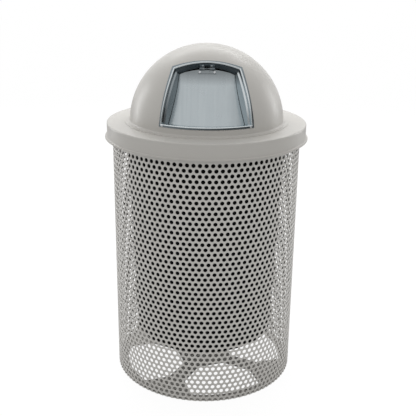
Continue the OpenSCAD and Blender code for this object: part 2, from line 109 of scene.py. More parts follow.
camera_data = bpy.data.cameras.new("camera")
camera_data.sensor_width = 36       # mm, as LENS is
camera_data.lens = LENS
camera = bpy.data.objects.new("camera", camera_data)
scene.collection.objects.link(camera)
scene.camera = camera
level = math.cos(TILT)
ahead = Vector((math.sin(TURN) * level, math.cos(TURN) * level, -math.sin(TILT)))
camera.rotation_mode = "QUATERNION"
camera.location = EYE
camera.rotation_quaternion = ahead.to_track_quat("-Z", "Y") @ Quaternion((0, 0, 1), ROLL)
print("camera looks along", tuple(round(c, 3) for c in ahead))

# %% [markdown]
# The room is a plain white studio with one wide soft lamp above and behind the object, a narrow
# one over it, and narrow ones at both sides that draw thin highlights on the bends. A soft fill
# is stronger from above. The camera sees the world as plain white. So do reflections, behind and
# beside the object. Only the lower room in front, where the camera stands, is dim for them, and
# more so to its right. Plated metal owes its dark and light folds to that.

# %% Node helpers
def math_node(tree, operation, *values, clamp=False):
    """The result of a Math node; each value is a socket or a number."""
    node = tree.nodes.new("ShaderNodeMath")
    node.operation = operation
    node.use_clamp = clamp
    for number, value in enumerate(values):
        if isinstance(value, (int, float)):
            node.inputs[number].default_value = value
        else:
            tree.links.new(value, node.inputs[number])
    return node.outputs[0]


def ranged(tree, value, low, high, to_low, to_high):
    """Maps value from low..high to to_low..to_high and clamps it."""
    node = tree.nodes.new("ShaderNodeMapRange")
    for label, number in (("From Min", low), ("From Max", high),
                          ("To Min", to_low), ("To Max", to_high)):
        node.inputs[label].default_value = number
    tree.links.new(value, node.inputs["Value"])
    return node.outputs["Result"]


def apart_of(tree, socket):
    """The X, Y and Z of a vector."""
    node = tree.nodes.new("ShaderNodeSeparateXYZ")
    tree.links.new(socket, node.inputs[0])
    return node.outputs["X"], node.outputs["Y"], node.outputs["Z"]


def show_mix(tree, output, factor, first, second):
    """Sends a mix of two shader nodes to a new output node."""
    mix = tree.nodes.new("ShaderNodeMixShader")
    tree.links.new(factor, mix.inputs["Fac"])
    tree.links.new(first.outputs[0], mix.inputs[1])
    tree.links.new(second.outputs[0], mix.inputs[2])
    tree.links.new(mix.outputs[0], tree.nodes.new(output).inputs["Surface"])


# %% World
ROOM_FRONT = 0.08           # how bright reflections see the lower room in front
ROOM_ABOVE = 0.72           # the same, high up in front
FILL_LEVEL, FILL_TOP = 0.62, 0.82
DIM_TO_RIGHT = -0.3         # how far the white back of the room draws away on the right
DIM_ABOVE_RIGHT = -0.25     # the same for the room above

world = bpy.data.worlds.new("studio")
scene.world = world
world.use_nodes = True
tree = world.node_tree
tree.nodes.clear()
fill, white = (tree.nodes.new("ShaderNodeBackground") for i in range(2))
fill.inputs["Color"].default_value = WHITE
white.inputs["Color"].default_value = WHITE
way_x, way_y, way_z = apart_of(tree, tree.nodes.new("ShaderNodeTexCoord").outputs["Generated"])
backwards = math_node(tree, "MULTIPLY_ADD", way_x, DIM_TO_RIGHT, way_y)
behind = ranged(tree, backwards, -0.4, 0.25, ROOM_FRONT, 1)
upwards = math_node(tree, "MULTIPLY_ADD", way_x, DIM_ABOVE_RIGHT, way_z)
above = ranged(tree, upwards, 0, 0.5, ROOM_FRONT, ROOM_ABOVE)
tree.links.new(ranged(tree, way_z, 0, 1, FILL_LEVEL, FILL_TOP), fill.inputs["Strength"])
path = tree.nodes.new("ShaderNodeLightPath").outputs
straight = math_node(tree, "MAXIMUM", path["Is Camera Ray"], path["Is Transmission Ray"])
room = math_node(tree, "MAXIMUM", behind, above)
tree.links.new(math_node(tree, "MAXIMUM", straight, room), white.inputs["Strength"])
sees_white = math_node(tree, "MAXIMUM", straight, path["Is Glossy Ray"])
show_mix(tree, "ShaderNodeOutputWorld", sees_white, fill, white)
print("world nodes:", len(tree.nodes))

# %% Lamps
def softbox(name, place, target, width, height, power):
    """A rectangular area lamp that faces its target."""
    lamp_data = bpy.data.lights.new(name, "AREA")
    lamp_data.shape = "RECTANGLE"
    lamp_data.size = width
    lamp_data.size_y = height
    lamp_data.energy = power
    lamp = bpy.data.objects.new(name, lamp_data)
    scene.collection.objects.link(lamp)
    lamp.location = place
    lamp.rotation_mode = "QUATERNION"
    lamp.rotation_quaternion = (Vector(target) - Vector(place)).to_track_quat("-Z", "Y")
    return lamp


softbox("lamp_left", (-2.6, 1.6, 1.2), (0, 0, 0.7), 0.4, 1.6, 12)
softbox("lamp_right", (2.6, 1.6, 1.2), (0, 0, 0.7), 0.4, 1.6, 9)
overhead = softbox("lamp_overhead", (0, 2.5, 2.8), (0, 0, 0.9), 4.2, 1.4, 94)
overhead.visible_glossy = False
rim = softbox("lamp_rim", (0, 2.6, 3.1), (0, 0, 0.9), 3.6, 0.2, 14)
rim.visible_diffuse = False

# %% [markdown]
# The floor is one large pale disc. To the camera it is almost as white as the background, which
# hides its far edge. The rest of its brightness is ordinary paint, so the soft shadow stays.

# %% Floor
GLOW = 1.1                  # how brightly the floor shines for the camera alone
GLOW_SHARE = 0.84           # how much of what the camera sees is that glow

shape = bmesh.new()
bmesh.ops.create_circle(shape, cap_ends=True, segments=96, radius=14)
floor = to_object(shape, "floor")

floor_paint = bpy.data.materials.new("floor_paint")
floor_paint.use_nodes = True
tree = floor_paint.node_tree
tree.nodes.clear()
paint = tree.nodes.new("ShaderNodeBsdfDiffuse")
paint.inputs["Color"].default_value = (0.62, 0.62, 0.62, 1)
glow = tree.nodes.new("ShaderNodeEmission")
glow.inputs["Color"].default_value = WHITE
glow.inputs["Strength"].default_value = GLOW
path = tree.nodes.new("ShaderNodeLightPath").outputs
share = math_node(tree, "MULTIPLY", path["Is Camera Ray"], GLOW_SHARE)
show_mix(tree, "ShaderNodeOutputMaterial", share, paint, glow)
floor.data.materials.append(floor_paint)
print("floor radius:", floor.dimensions.x / 2, "m")

# %% [markdown]
# Materials. Two effects are shared, so each is a node group that is built once: grain, a fine
# unevenness that feeds the bump, and soiling, a colour that drifts a little and is dusted with
# specks, and that also gets darker towards the ground. Patterns read Object coordinates, so they
# stay on the piece.

# %% Shared node groups
def new_group(name, inputs, outputs):
    """An empty node group with float or colour sockets, and its two end nodes."""
    group = bpy.data.node_groups.new(name, "ShaderNodeTree")
    for label, kind, value in inputs:
        socket = group.interface.new_socket(name=label, in_out="INPUT", socket_type=kind)
        socket.default_value = value
    for label, kind in outputs:
        group.interface.new_socket(name=label, in_out="OUTPUT", socket_type=kind)
    return group, group.nodes.new("NodeGroupInput"), group.nodes.new("NodeGroupOutput")


def noise(tree, place, scale, detail=2, rough=0.5):
    """A noise texture on the given coordinates."""
    texture = tree.nodes.new("ShaderNodeTexNoise")
    texture.inputs["Scale"].default_value = scale
    texture.inputs["Detail"].default_value = detail
    texture.inputs["Roughness"].default_value = rough
    tree.links.new(place, texture.inputs["Vector"])
    return texture.outputs["Fac"]


grain_group, ins, outs = new_group(
    "grain", [("Fine Scale", "NodeSocketFloat", 900), ("Coarse Scale", "NodeSocketFloat", 140)],
    [("Height", "NodeSocketFloat")])
place = grain_group.nodes.new("ShaderNodeTexCoord").outputs["Object"]
heights = []
for label in ("Fine Scale", "Coarse Scale"):
    texture = grain_group.nodes.new("ShaderNodeTexNoise")
    texture.inputs["Detail"].default_value = 2
    grain_group.links.new(place, texture.inputs["Vector"])
    grain_group.links.new(ins.outputs[label], texture.inputs["Scale"])
    heights.append(texture.outputs["Fac"])
grain_group.links.new(math_node(grain_group, "ADD", *heights), outs.inputs["Height"])
print("group grain:", len(grain_group.nodes), "nodes")

# %% Soiling group
def mixed(tree, kind, factor, first, second):
    """A colour mix; factor is a socket, first and second are sockets or colours."""
    node = tree.nodes.new("ShaderNodeMix")
    node.data_type = "RGBA"
    node.blend_type = kind
    tree.links.new(factor, node.inputs["Factor"])
    for label, value in (("A", first), ("B", second)):
        socket = next(s for s in node.inputs if s.name == label and s.type == "RGBA")
        if isinstance(value, tuple):
            socket.default_value = value
        else:
            tree.links.new(value, socket)
    return next(s for s in node.outputs if s.type == "RGBA")


SOIL = (0.55, 0.52, 0.46, 1)
soil_group, ins, outs = new_group(
    "soiling",
    [("Color", "NodeSocketColor", (0.5, 0.5, 0.5, 1)), ("Amount", "NodeSocketFloat", 0.3)],
    [("Color", "NodeSocketColor"), ("Mask", "NodeSocketFloat")])
place = soil_group.nodes.new("ShaderNodeTexCoord").outputs["Object"]
height = apart_of(soil_group, place)[2]
CLOUDS_PER_M, SPECKS_PER_M = 5, 420     # noise scales
DARKER_UP_TO = 0.2                       # metres over the ground
clouds = ranged(soil_group, noise(soil_group, place, CLOUDS_PER_M, 4), 0.35, 0.7, 0, 1)
# the colour is darker towards the ground, up to the height above
low_down = ranged(soil_group, height, 0, DARKER_UP_TO, 0.8, 0.12)
specks = ranged(soil_group, noise(soil_group, place, SPECKS_PER_M, 1), 0.7, 0.78, 0, 0.7)
total = math_node(soil_group, "MULTIPLY_ADD", clouds, low_down, specks)
amount = math_node(soil_group, "MULTIPLY", total, ins.outputs["Amount"], clamp=True)
soiled = mixed(soil_group, "MULTIPLY", amount, ins.outputs["Color"], SOIL)
soil_group.links.new(soiled, outs.inputs["Color"])
soil_group.links.new(amount, outs.inputs["Mask"])
print("group soiling:", len(soil_group.nodes), "nodes")

# %% Material helper
def new_finish(name, color, rough, metallic=0.0, soil=0.3, spread=0.06,
               fine=900, coarse=140, bump=0.1, depth=0.0002):
    """A Principled material: soiling on its colour, a roughness that varies, and a grain bump."""
    finish = bpy.data.materials.new(name)
    finish.use_nodes = True
    tree = finish.node_tree
    shader = tree.nodes["Principled BSDF"]
    shader.inputs["Metallic"].default_value = metallic
    place = tree.nodes.new("ShaderNodeTexCoord").outputs["Object"]
    dirt = tree.nodes.new("ShaderNodeGroup")
    dirt.node_tree = soil_group
    dirt.inputs["Color"].default_value = (*color, 1)
    dirt.inputs["Amount"].default_value = soil
    tree.links.new(dirt.outputs["Color"], shader.inputs["Base Color"])
    patches = noise(tree, place, 24, 3)
    tree.links.new(ranged(tree, patches, 0.3, 0.7, rough - spread, rough + spread),
                   shader.inputs["Roughness"])
    grain = tree.nodes.new("ShaderNodeGroup")
    grain.node_tree = grain_group
    grain.inputs["Fine Scale"].default_value = fine
    grain.inputs["Coarse Scale"].default_value = coarse
    raised = tree.nodes.new("ShaderNodeBump")
    raised.inputs["Strength"].default_value = bump
    raised.inputs["Distance"].default_value = depth
    tree.links.new(grain.outputs["Height"], raised.inputs["Height"])
    tree.links.new(raised.outputs["Normal"], shader.inputs["Normal"])
    return finish


# %% [markdown]
# The body and lid are powder coated: a satin paint with a faint orange peel. The body's coat is a
# copy painted a shade lighter, painted light for how bright its lands look between the holes. The
# small hardware is zinc plated, the liner is moulded black plastic with a fine texture.

# %% Finishes
# the body's coat is a copy of the lid's, painted a shade lighter as painted light
coated, body_coat_painted_lighter = (
    new_finish(name, color, 0.34, soil=0.2, spread=0.03, fine=1400, coarse=260,
               bump=0.2, depth=0.0003)
    for name, color in (("powder_coat", (0.53, 0.515, 0.485)),
                        ("powder_coat_body_painted_lighter", (0.62, 0.605, 0.575))))
zinc = new_finish("zinc_plate", (0.80, 0.82, 0.84), 0.3, metallic=1, fine=2500, coarse=300)
plastic = new_finish("liner_plastic", (0.0035, 0.0035, 0.0038), 0.6, soil=0.1,
                     fine=1600, coarse=500, bump=0.3, depth=0.0003)
plastic.node_tree.nodes["Principled BSDF"].inputs["Specular IOR Level"].default_value = 0.08
wire = new_finish("spring_wire", (0.42, 0.42, 0.41), 0.28, metallic=1)
rubber = new_finish("black_rubber", (0.018, 0.018, 0.018), 0.75, soil=0.2, bump=0.3)
print("finishes so far:", len(bpy.data.materials))

# %% [markdown]
# The door and its frame are plated sheet with fine upright brushing, and the door has painted
# shade under its hinge, where the frame's top wall hangs over it. What such sheet mirrors in the
# photographer's room isn't known, so the frame's folds get painted shades of their own: a darker
# painted reflection on the flange, a lighter copy as painted highlight on the fold, painted shade
# on the left wall and the darkest painted shade on the top wall.

# %% Plated sheet
def streaked(tree, scale):
    """Noise that is drawn out upwards; scale is per metre across, in depth and in height."""
    stretch = tree.nodes.new("ShaderNodeMapping")
    stretch.inputs["Scale"].default_value = scale
    tree.links.new(tree.nodes["Texture Coordinate"].outputs["Object"], stretch.inputs["Vector"])
    return noise(tree, stretch.outputs[0], 1, 3, 0.6)


def shaded(tree, mask, shade):
    """Multiplies the base colour by a shade where the mask is 1."""
    color = tree.nodes["Principled BSDF"].inputs["Base Color"]
    before = color.links[0].from_socket
    tree.links.new(mixed(tree, "MULTIPLY", mask, before, (*shade, 1)), color)


def plated_sheet(name, color, rough):
    """Plated sheet with upright brushing in its bump and faint broad streaks in its colour."""
    finish = new_finish(name, color, rough, metallic=1, soil=0.15, spread=0.04,
                        fine=1200, coarse=180, bump=0.01)
    tree = finish.node_tree
    streaks = ranged(tree, streaked(tree, (110, 8, 5)), 0.35, 0.65, 0, 1)
    shaded(tree, streaks, (0.94, 0.945, 0.95))
    brushed = tree.nodes.new("ShaderNodeBump")
    brushed.inputs["Strength"].default_value = 0.02
    brushed.inputs["Distance"].default_value = 0.0002
    tree.links.new(streaked(tree, (900, 40, 14)), brushed.inputs["Height"])
    tree.links.new(tree.nodes["Bump"].outputs["Normal"], brushed.inputs["Normal"])
    tree.links.new(brushed.outputs["Normal"], tree.nodes["Principled BSDF"].inputs["Normal"])
    return finish


plated = plated_sheet("plated_sheet", (0.80, 0.85, 0.87), 0.22)
door_plated = plated_sheet("plated_door", (0.58, 0.635, 0.66), 0.24)
tree = door_plated.node_tree
height = apart_of(tree, tree.nodes["Texture Coordinate"].outputs["Object"])[2]
# painted shade: the door darkens towards its top, under the frame's top wall
SHADE_FROM, SHADE_FULL = 0.995, 1.03    # heights in metres
shaded(tree, ranged(tree, height, SHADE_FROM, SHADE_FULL, 0, 1), (0.5, 0.5, 0.5))
# darker copies of the plating: painted reflection and painted shade for the frame and the hinge
dim_painted_plated = plated_sheet("dim_painted_plated_sheet", (0.23, 0.265, 0.285), 0.28)
shaded_plated = plated_sheet("shaded_plated_sheet", (0.36, 0.40, 0.42), 0.26)
top_wall_painted_shade = plated_sheet("top_wall_painted_shade_sheet", (0.08, 0.095, 0.105), 0.3)
finishes = {"coated_steel": coated, "liner_plastic": plastic, "plated_steel": plated,
            "zinc_hardware": zinc, "spring_wire": wire, "black_rubber": rubber}
# the hinge's darker platings are painted shade under the frame's top wall
by_node = {"hinge_door_leaf": door_plated, "hinge_frame_leaf": dim_painted_plated,
           "hinge_pin": dim_painted_plated}
print("finishes:", sorted(finishes))

# %% [markdown]
# Every solid gets the finish of its slot, and three pieces of the hinge a darker plating of their
# own: painted shade, as they sit under the frame's top wall.
# Those with the right shape, such as the base plate, the rolled top edge and the hinge's leaves,
# stay as they are.

# %% Finishes on the solids
def finish_of(body, slot):
    """The finish of a slot; the body's own sheet gets a copy of the lid's coat, painted a shade
    lighter.
    """
    return body_coat_painted_lighter if (body, slot) == ("body", "coated_steel") else finishes[slot]


bodies = frame["record"]["behaviour"]["bodies"]
body_of = {node: body for body, listed in bodies.items() for node in listed}
for part in frame["record"]["subparts"]:
    solid = nodes[part["node"]]
    if not solid.material_slots:
        solid.data.materials.append(None)
    finish = finish_of(body_of[part["node"]], part["material_slot"])
    for place in solid.material_slots:
        place.material = by_node.get(part["node"], finish)
print("solids with a finish:", len(body_of))

# %% [markdown]
# A helper ends every new piece. Doubles are merged, and closed shapes get their faces turned
# outwards. Sharp folds stay sharp in the shading, the piece is attached to the body it rides on,
# the solids it stands for are hidden, and its size is printed.

# %% Ending a piece
def end_piece(shape, name, body, slot, stands_for=(), crease=32, turn_out=True):
    """Makes a bmesh an object that rides on a body and stands for the named solids."""
    bmesh.ops.remove_doubles(shape, verts=shape.verts, dist=0.002 * MM)
    if turn_out:
        bmesh.ops.recalc_face_normals(shape, faces=shape.faces)
    for face in shape.faces:
        face.smooth = True
    sharp = math.radians(crease)
    for edge in shape.edges:
        edge.smooth = len(edge.link_faces) == 2 and edge.calc_face_angle() < sharp
    thing = to_object(shape, name)
    thing.data.materials.append(finish_of(body, slot))
    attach(thing, body)
    if stands_for:
        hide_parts(*stands_for)
    report(thing)
    return thing


def report(thing):
    """Prints a piece's face count and box in millimetres."""
    spots = [v.co for v in thing.data.vertices]
    low = [round(min(s[i] for s in spots) / MM, 1) for i in range(3)]
    high = [round(max(s[i] for s in spots) / MM, 1) for i in range(3)]
    print(thing.name, len(thing.data.polygons), "faces", low, high)


# %% [markdown]
# The perforated sheet. One cell of the pattern is a square outline joined to a circle, which
# leaves a round hole. The cell is copied along a row, the rows are copied upwards with every
# second one shifted by half a step, and the flat sheet is then rolled. The last cells at both
# upright seams stay plain. Thickness comes late, so each hole gets its wall, and then a tiny
# round where the outer face turns into the hole.

# %% Sizes of the body
BODY_R = 303 * MM
BODY_H = 858 * MM
WALL_T = 1.6 * MM
HOLES_ROUND = 100
HOLE_R = 6.4 * MM
PITCH = 2 * math.pi * BODY_R / HOLES_ROUND
ROW_STEP = 16.367 * MM
TOP_ROW = 790 * MM
ROWS = 49
PHASE = 0.00588 * BODY_R            # the lattice's shift round the body
SEAM_ANGLE = 0.05                   # radians at each seam that stay plain
ROW_REACH = 26                      # cells to each side of a row's middle


def cell(shape, along, up, holed):
    """One cell of the flat sheet around the point (along, up), with or without its hole."""
    made = bmesh.ops.create_grid(shape, x_segments=4, y_segments=4, size=0.5)["verts"]
    bmesh.ops.scale(shape, vec=(PITCH, ROW_STEP, 1), verts=made)
    if holed:
        inner = [v for v in made
                 if abs(v.co.x) < 0.49 * PITCH and abs(v.co.y) < 0.49 * ROW_STEP]
        made = [v for v in made if v not in set(inner)]
        bmesh.ops.delete(shape, geom=inner, context="VERTS")
        made += bmesh.ops.create_circle(shape, segments=16, radius=HOLE_R)["verts"]
        edges = list({e for v in made for e in v.link_edges})
        bmesh.ops.bridge_loops(shape, edges=edges)
    bmesh.ops.translate(shape, vec=(along, up, 0), verts=made)


def row(shape, number):
    """A row of cells with plain cells at both ends; row 0 is the top one."""
    for step in range(-ROW_REACH, ROW_REACH + 1):
        along = PHASE + PITCH * (step + (0.5 if number % 2 else 0))
        holed = abs(along) < BODY_R * (math.pi / 2 - SEAM_ANGLE)
        cell(shape, along, TOP_ROW - number * ROW_STEP, holed)


# %% Half a sheet
def copied(shape, count, step):
    """Copies everything in shape count - 1 times, each copy one step further down."""
    pattern = whole(shape)
    for i in range(1, count):
        fresh = bmesh.ops.duplicate(shape, geom=pattern)["geom"]
        bmesh.ops.translate(shape, vec=(0, -i * step, 0), verts=verts_of(fresh))


def half_sheet():
    """The flat half sheet: x along the wall from the door's middle, y up."""
    shape = bmesh.new()
    row(shape, 0)
    row(shape, 1)
    copied(shape, ROWS // 2, 2 * ROW_STEP)
    row(shape, ROWS - 1)
    bmesh.ops.remove_doubles(shape, verts=shape.verts, dist=0.01 * MM)
    half = math.pi / 2 * BODY_R
    for point, normal in (((half, 0, 0), (1, 0, 0)), ((-half, 0, 0), (-1, 0, 0)),
                          ((0, 0, 0), (0, -1, 0))):
        bmesh.ops.bisect_plane(shape, geom=whole(shape), plane_co=point, plane_no=normal,
                               clear_outer=True)
    edge_y = TOP_ROW + ROW_STEP / 2
    top = [e for e in shape.edges if all(abs(v.co.y - edge_y) < 0.01 * MM for v in e.verts)]
    raised = extruded(shape, top)[1]
    bmesh.ops.translate(shape, vec=(0, BODY_H - edge_y, 0), verts=raised)
    return shape


def rolled(shape, turn):
    """Rolls the flat sheet round the body; turn 0 puts its middle at the door."""
    for v in shape.verts:
        angle = v.co.x / BODY_R + turn
        v.co = Vector((BODY_R * math.sin(angle), -BODY_R * math.cos(angle), v.co.y))


def round_hole_edges(shape):
    """A small round where the outer face turns into a hole."""
    sharp = [e for e in shape.edges if len(e.link_faces) == 2 and e.calc_face_angle() > 1
             and all(abs(v.co.xy.length - BODY_R) < 0.05 * MM for v in e.verts)]
    rounded(shape, sharp, 0.15, 1)


# %% The wall's two halves
for name, node, turn in (("perforated_front", "wall_front", 0),
                         ("perforated_back", "wall_back", math.pi)):
    shape = half_sheet()
    rolled(shape, turn)
    bmesh.ops.recalc_face_normals(shape, faces=shape.faces)
    if sum(f.normal.xy.dot(f.calc_center_median().xy) for f in shape.faces) < 0:
        bmesh.ops.reverse_faces(shape, faces=shape.faces)
    bmesh.ops.solidify(shape, geom=shape.faces[:], thickness=WALL_T)
    round_hole_edges(shape)
    end_piece(shape, name, "body", "coated_steel", [node], turn_out=False, crease=50)

# %% [markdown]
# Round pieces are spun from half a section. The section is a line of a few points; rounding a
# point with bevel on vertices gives the bends of the sheet their radius.

# %% Spinning a section
def section(points, bends=()):
    """A line of (radius, height) points in mm; bends lists (point number, offset, steps)."""
    shape = bmesh.new()
    line = [shape.verts.new((r * MM, 0, z * MM)) for r, z in points]
    for a, b in zip(line, line[1:]):
        shape.edges.new((a, b))
    for number, offset, steps in bends:
        rounded(shape, [line[number]], offset, steps, affect="VERTICES")
    return shape


def spun(shape, steps=240):
    """Turns the section about the body's axis."""
    bmesh.ops.spin(shape, geom=shape.verts[:] + shape.edges[:], cent=(0, 0, 0), axis=(0, 0, 1),
                   angle=2 * math.pi, steps=steps, use_merge=True)
    bmesh.ops.remove_doubles(shape, verts=shape.verts, dist=0.002 * MM)
    bmesh.ops.recalc_face_normals(shape, faces=shape.faces)


def face_up(shape, probe):
    """Turns all faces round if the one nearest to probe's place, in mm, doesn't look its way."""
    spot = Vector(probe[:3]) * MM
    nearest = min(shape.faces, key=lambda f: (f.calc_center_median() - spot).length)
    if nearest.normal.dot(Vector(probe[3:])) < 0:
        bmesh.ops.reverse_faces(shape, faces=shape.faces)


# %% [markdown]
# The lid's collar is one sheet: a flat ring, a bend of 5 mm into the skirt, and a lip that turns
# out at the skirt's foot. It is drawn as its outer face and gets its thickness inwards.

# %% Collar
LID_T = 1.5
LID_Z = 859.8
SKIRT_R = 321
COLLAR_INNER_R = 246
LIP_R = SKIRT_R + 6.5
LIP_Z = LID_Z - 49 + LID_T          # top face of the lip, 49 mm of skirt further down

shape = section([(COLLAR_INNER_R, LID_Z), (SKIRT_R, LID_Z), (SKIRT_R, LIP_Z), (LIP_R, LIP_Z)],
                [(1, 5, 6), (2, 4.5, 6)])
spun(shape)
face_up(shape, (290, 0, LID_Z, 0, 0, 1))
bmesh.ops.solidify(shape, geom=shape.faces[:], thickness=LID_T * MM)
end_piece(shape, "collar", "lid", "coated_steel", ["lid_collar"], turn_out=False)

# %% [markdown]
# The dome is a spun half circle with a small bend into a flat flange at its foot. The door
# opening is cut with a Boolean: its cutter is the opening's outline, drawn from the front and
# pushed through the dome's front wall. The outline bows at the sides and arches at the top.

# %% Outline of the door opening
DOME_R = 247.5
DOME_Z = 855.6
LOW = (134.5, 35.0)                 # the opening's lower right corner from the front
HIGH = (98.0, 188.0)                # its upper right corner
SIDE_BOW, TOP_BOW = 5.5, 20         # how far its sides and its top bow


def bow_at(start, end, bow, share):
    """A point of the shallow arc from start to end that bows to the right of the way."""
    start, end = Vector(start), Vector(end)
    way = (end - start).normalized()
    return start.lerp(end, share) + Vector((way.y, -way.x)) * 4 * bow * share * (1 - share)


def bowed(start, end, bow, steps):
    """Points from start to just before end on that arc."""
    return [bow_at(start, end, bow, i / steps) for i in range(steps)]


def outline(sides, foot, top):
    """The opening from the front, (x, height over the dome's centre) in mm, grown by these."""
    low, high = (LOW[0] + sides, LOW[1] - foot), (HIGH[0] + sides, HIGH[1] + top)
    far_low, far_high = (-low[0], low[1]), (-high[0], high[1])
    return (bowed(far_low, low, 0, 24) + bowed(low, high, SIDE_BOW, 18)
            + bowed(high, far_high, TOP_BOW, 20) + bowed(far_high, far_low, SIDE_BOW, 18))


def on_dome(point, radius):
    """A front point on a ball about the dome's centre, as seen from that centre, in mm."""
    return Vector((point.x, -math.sqrt(radius ** 2 - point.x ** 2 - point.y ** 2), point.y))


def placed(spot):
    """A point in mm about the dome's centre as a place in the scene."""
    return (spot + Vector((0, 0, DOME_Z))) * MM


# %% Dome
FLANGE_OUT_R, FLANGE_IN_R = 263.7, 247.4    # of the flat flange at the dome's foot

# 61 points of the arc, from 1.35 degrees over the dome's centre to its top
arc = [(DOME_R * math.cos(a), DOME_Z + DOME_R * math.sin(a))
       for a in (math.radians(1.35 + 88.65 * i / 60) for i in range(61))]
foot = [(FLANGE_OUT_R, LID_Z + LID_T), (FLANGE_IN_R, LID_Z + LID_T)]
shape = section(foot + arc[1:], [(1, 5.5, 6)])
spun(shape)
face_up(shape, (0, 0, DOME_Z + DOME_R, 0, 0, 1))
bmesh.ops.solidify(shape, geom=shape.faces[:], thickness=LID_T * MM)
dome = end_piece(shape, "dome_shell", "lid", "coated_steel", ["dome"], turn_out=False)

# %% Cutting the opening
shape = bmesh.new()
ring = [shape.verts.new((p.x * MM, -0.3, (p.y + DOME_Z) * MM)) for p in outline(3, 3, 2)]
front = shape.faces.new(ring)
grown = bmesh.ops.extrude_face_region(shape, geom=[front])["geom"]
bmesh.ops.translate(shape, vec=(0, 0.3, 0), verts=verts_of(grown))
bmesh.ops.recalc_face_normals(shape, faces=shape.faces)
cutter = to_object(shape, "cutter")


def cut(thing, tool):
    """Cuts tool out of thing for good, and keeps the folds sharp."""
    modifier = thing.modifiers.new("cut", "BOOLEAN")
    modifier.operation = "DIFFERENCE"
    modifier.solver = "EXACT"
    modifier.object = tool
    bpy.context.view_layer.update()
    final = thing.evaluated_get(bpy.context.evaluated_depsgraph_get())
    result = bpy.data.meshes.new_from_object(final)
    thing.modifiers.clear()
    thing.data = result
    bpy.data.objects.remove(tool)


before = len(dome.data.polygons)
cut(dome, cutter)
print("dome faces", before, "->", len(dome.data.polygons))

# %% [markdown]
# The door's frame is folded sheet: a flange on the dome, a round fold, and a wall that runs in
# towards the dome's centre until just before the door. A little way in, the side walls slant
# towards the opening in a narrow band, which catches the light. The frame is drawn as a closed
# wire around the flange's outer edge. It is extruded ring by ring, and every new point is set on
# the surface it belongs to.

# %% The door's surface
LEAN = math.radians(29.2)
DOOR_UP = Vector((0, math.sin(LEAN), math.cos(LEAN)))
DOOR_OUT = Vector((0, -math.cos(LEAN), math.sin(LEAN)))
DOOR_FACE = 198.7
DOOR_BEND = 260
FRAME_T = 1.2
FOOT_GAP = 2


def to_door(spot, gap):
    """Where the ray from the dome's centre through spot meets the door's roll, gap mm off it."""
    ray = spot.normalized()
    out_share = ray.dot(DOOR_OUT)
    axis = DOOR_FACE - DOOR_BEND
    a = out_share ** 2 + ray.x ** 2
    b = -2 * axis * out_share
    c = axis ** 2 - (DOOR_BEND + gap) ** 2
    return ray * ((-b + math.sqrt(b * b - 4 * a * c)) / (2 * a))


# %% Frame
def grown_ring(shape, edges, spots):
    """Extrudes a closed wire and moves the new points to spots, in order."""
    edges, fresh = extruded(shape, edges)
    for vertex, spot in zip(fresh, spots):
        vertex.co = placed(spot)
    return edges, fresh


FLANGE_R = DOME_R + 0.2 + FRAME_T


def inwards(point, depth):
    """A point depth mm below the flange, on the ray to the dome's centre."""
    return on_dome(point, FLANGE_R) * (1 - depth / FLANGE_R)


FOLD = (0.2, 0.2, 0.2)              # how far the outline grows at the fold
SLANT = (-3.4, 0.2, 0.2)            # the same past the slanting band
BAND_FROM, BAND_TO = 11, 15         # the band's depth under the flange
flange_edge = [on_dome(p, FLANGE_R) for p in outline(7, 8.5, 3.9)]
fold_line = [on_dome(p, FLANGE_R) for p in outline(*FOLD)]
band_outer = [inwards(p, BAND_FROM) for p in outline(*FOLD)]
band_inner = [inwards(p, BAND_TO) for p in outline(*SLANT)]
wall_foot = [to_door(on_dome(p, FLANGE_R), FOOT_GAP) for p in outline(*SLANT)]

shape = bmesh.new()
flange_verts = [shape.verts.new(placed(s)) for s in flange_edge]
edges = [shape.edges.new(pair) for pair in zip(flange_verts, flange_verts[1:] + flange_verts[:1])]
fold_edges = grown_ring(shape, edges, fold_line)[0]
edges, outer_verts = grown_ring(shape, fold_edges, band_outer)
edges, inner_verts = grown_ring(shape, edges, band_inner)
foot_verts = grown_ring(shape, edges, wall_foot)[1]
bmesh.ops.recalc_face_normals(shape, faces=shape.faces)
shape.normal_update()
face_up(shape, (0, -170, DOME_Z + 211, 0, -0.5, 0.8))
print("frame drawn with", len(shape.faces), "faces")

# %% [markdown]
# Each face of the frame gets the number of its plating by its place, seen from the front. These
# platings are darker and lighter copies of one sheet, painted light and shade by place. The fold
# is rounded after that and takes the bright one.

# %% Painted shades of the frame's plating
# platings by place as painted light and shade: dimmer flange, lighter band, darker left and top
# walls
DIM_PAINTED, BRIGHT, DOOR_LIKE, TOP_SHADE, SHADED = range(5)
for face in {f for v in outer_verts + foot_verts for f in v.link_faces}:
    way = (face.calc_center_median() / MM - Vector((0, 0, DOME_Z))).normalized() * FLANGE_R
    in_band = all(v in outer_verts or v in inner_verts for v in face.verts)
    over_foot = way.z > LOW[1] + 1
    if way.z > HIGH[1] - 1:
        face.material_index = TOP_SHADE
    elif way.x < -HIGH[0] + 6 and over_foot:
        face.material_index = SHADED
    else:
        face.material_index = BRIGHT if in_band and over_foot else DOOR_LIKE
rounded(shape, fold_edges, 3.2, 6, material=BRIGHT)
bmesh.ops.solidify(shape, geom=shape.faces[:], thickness=FRAME_T * MM)
surround = end_piece(shape, "door_surround", "lid", "plated_steel", ["door_frame"],
                     turn_out=False, crease=25)
surround.data.materials[DIM_PAINTED] = dim_painted_plated
for finish in (plated, door_plated, top_wall_painted_shade, shaded_plated):
    surround.data.materials.append(finish)

# %% [markdown]
# At the lower left a black wedge of rubber, a painted shadow in the gap between the wall and the
# door, shows just inside the fold. It is a small grid, laid on the frame's wall and thickened.

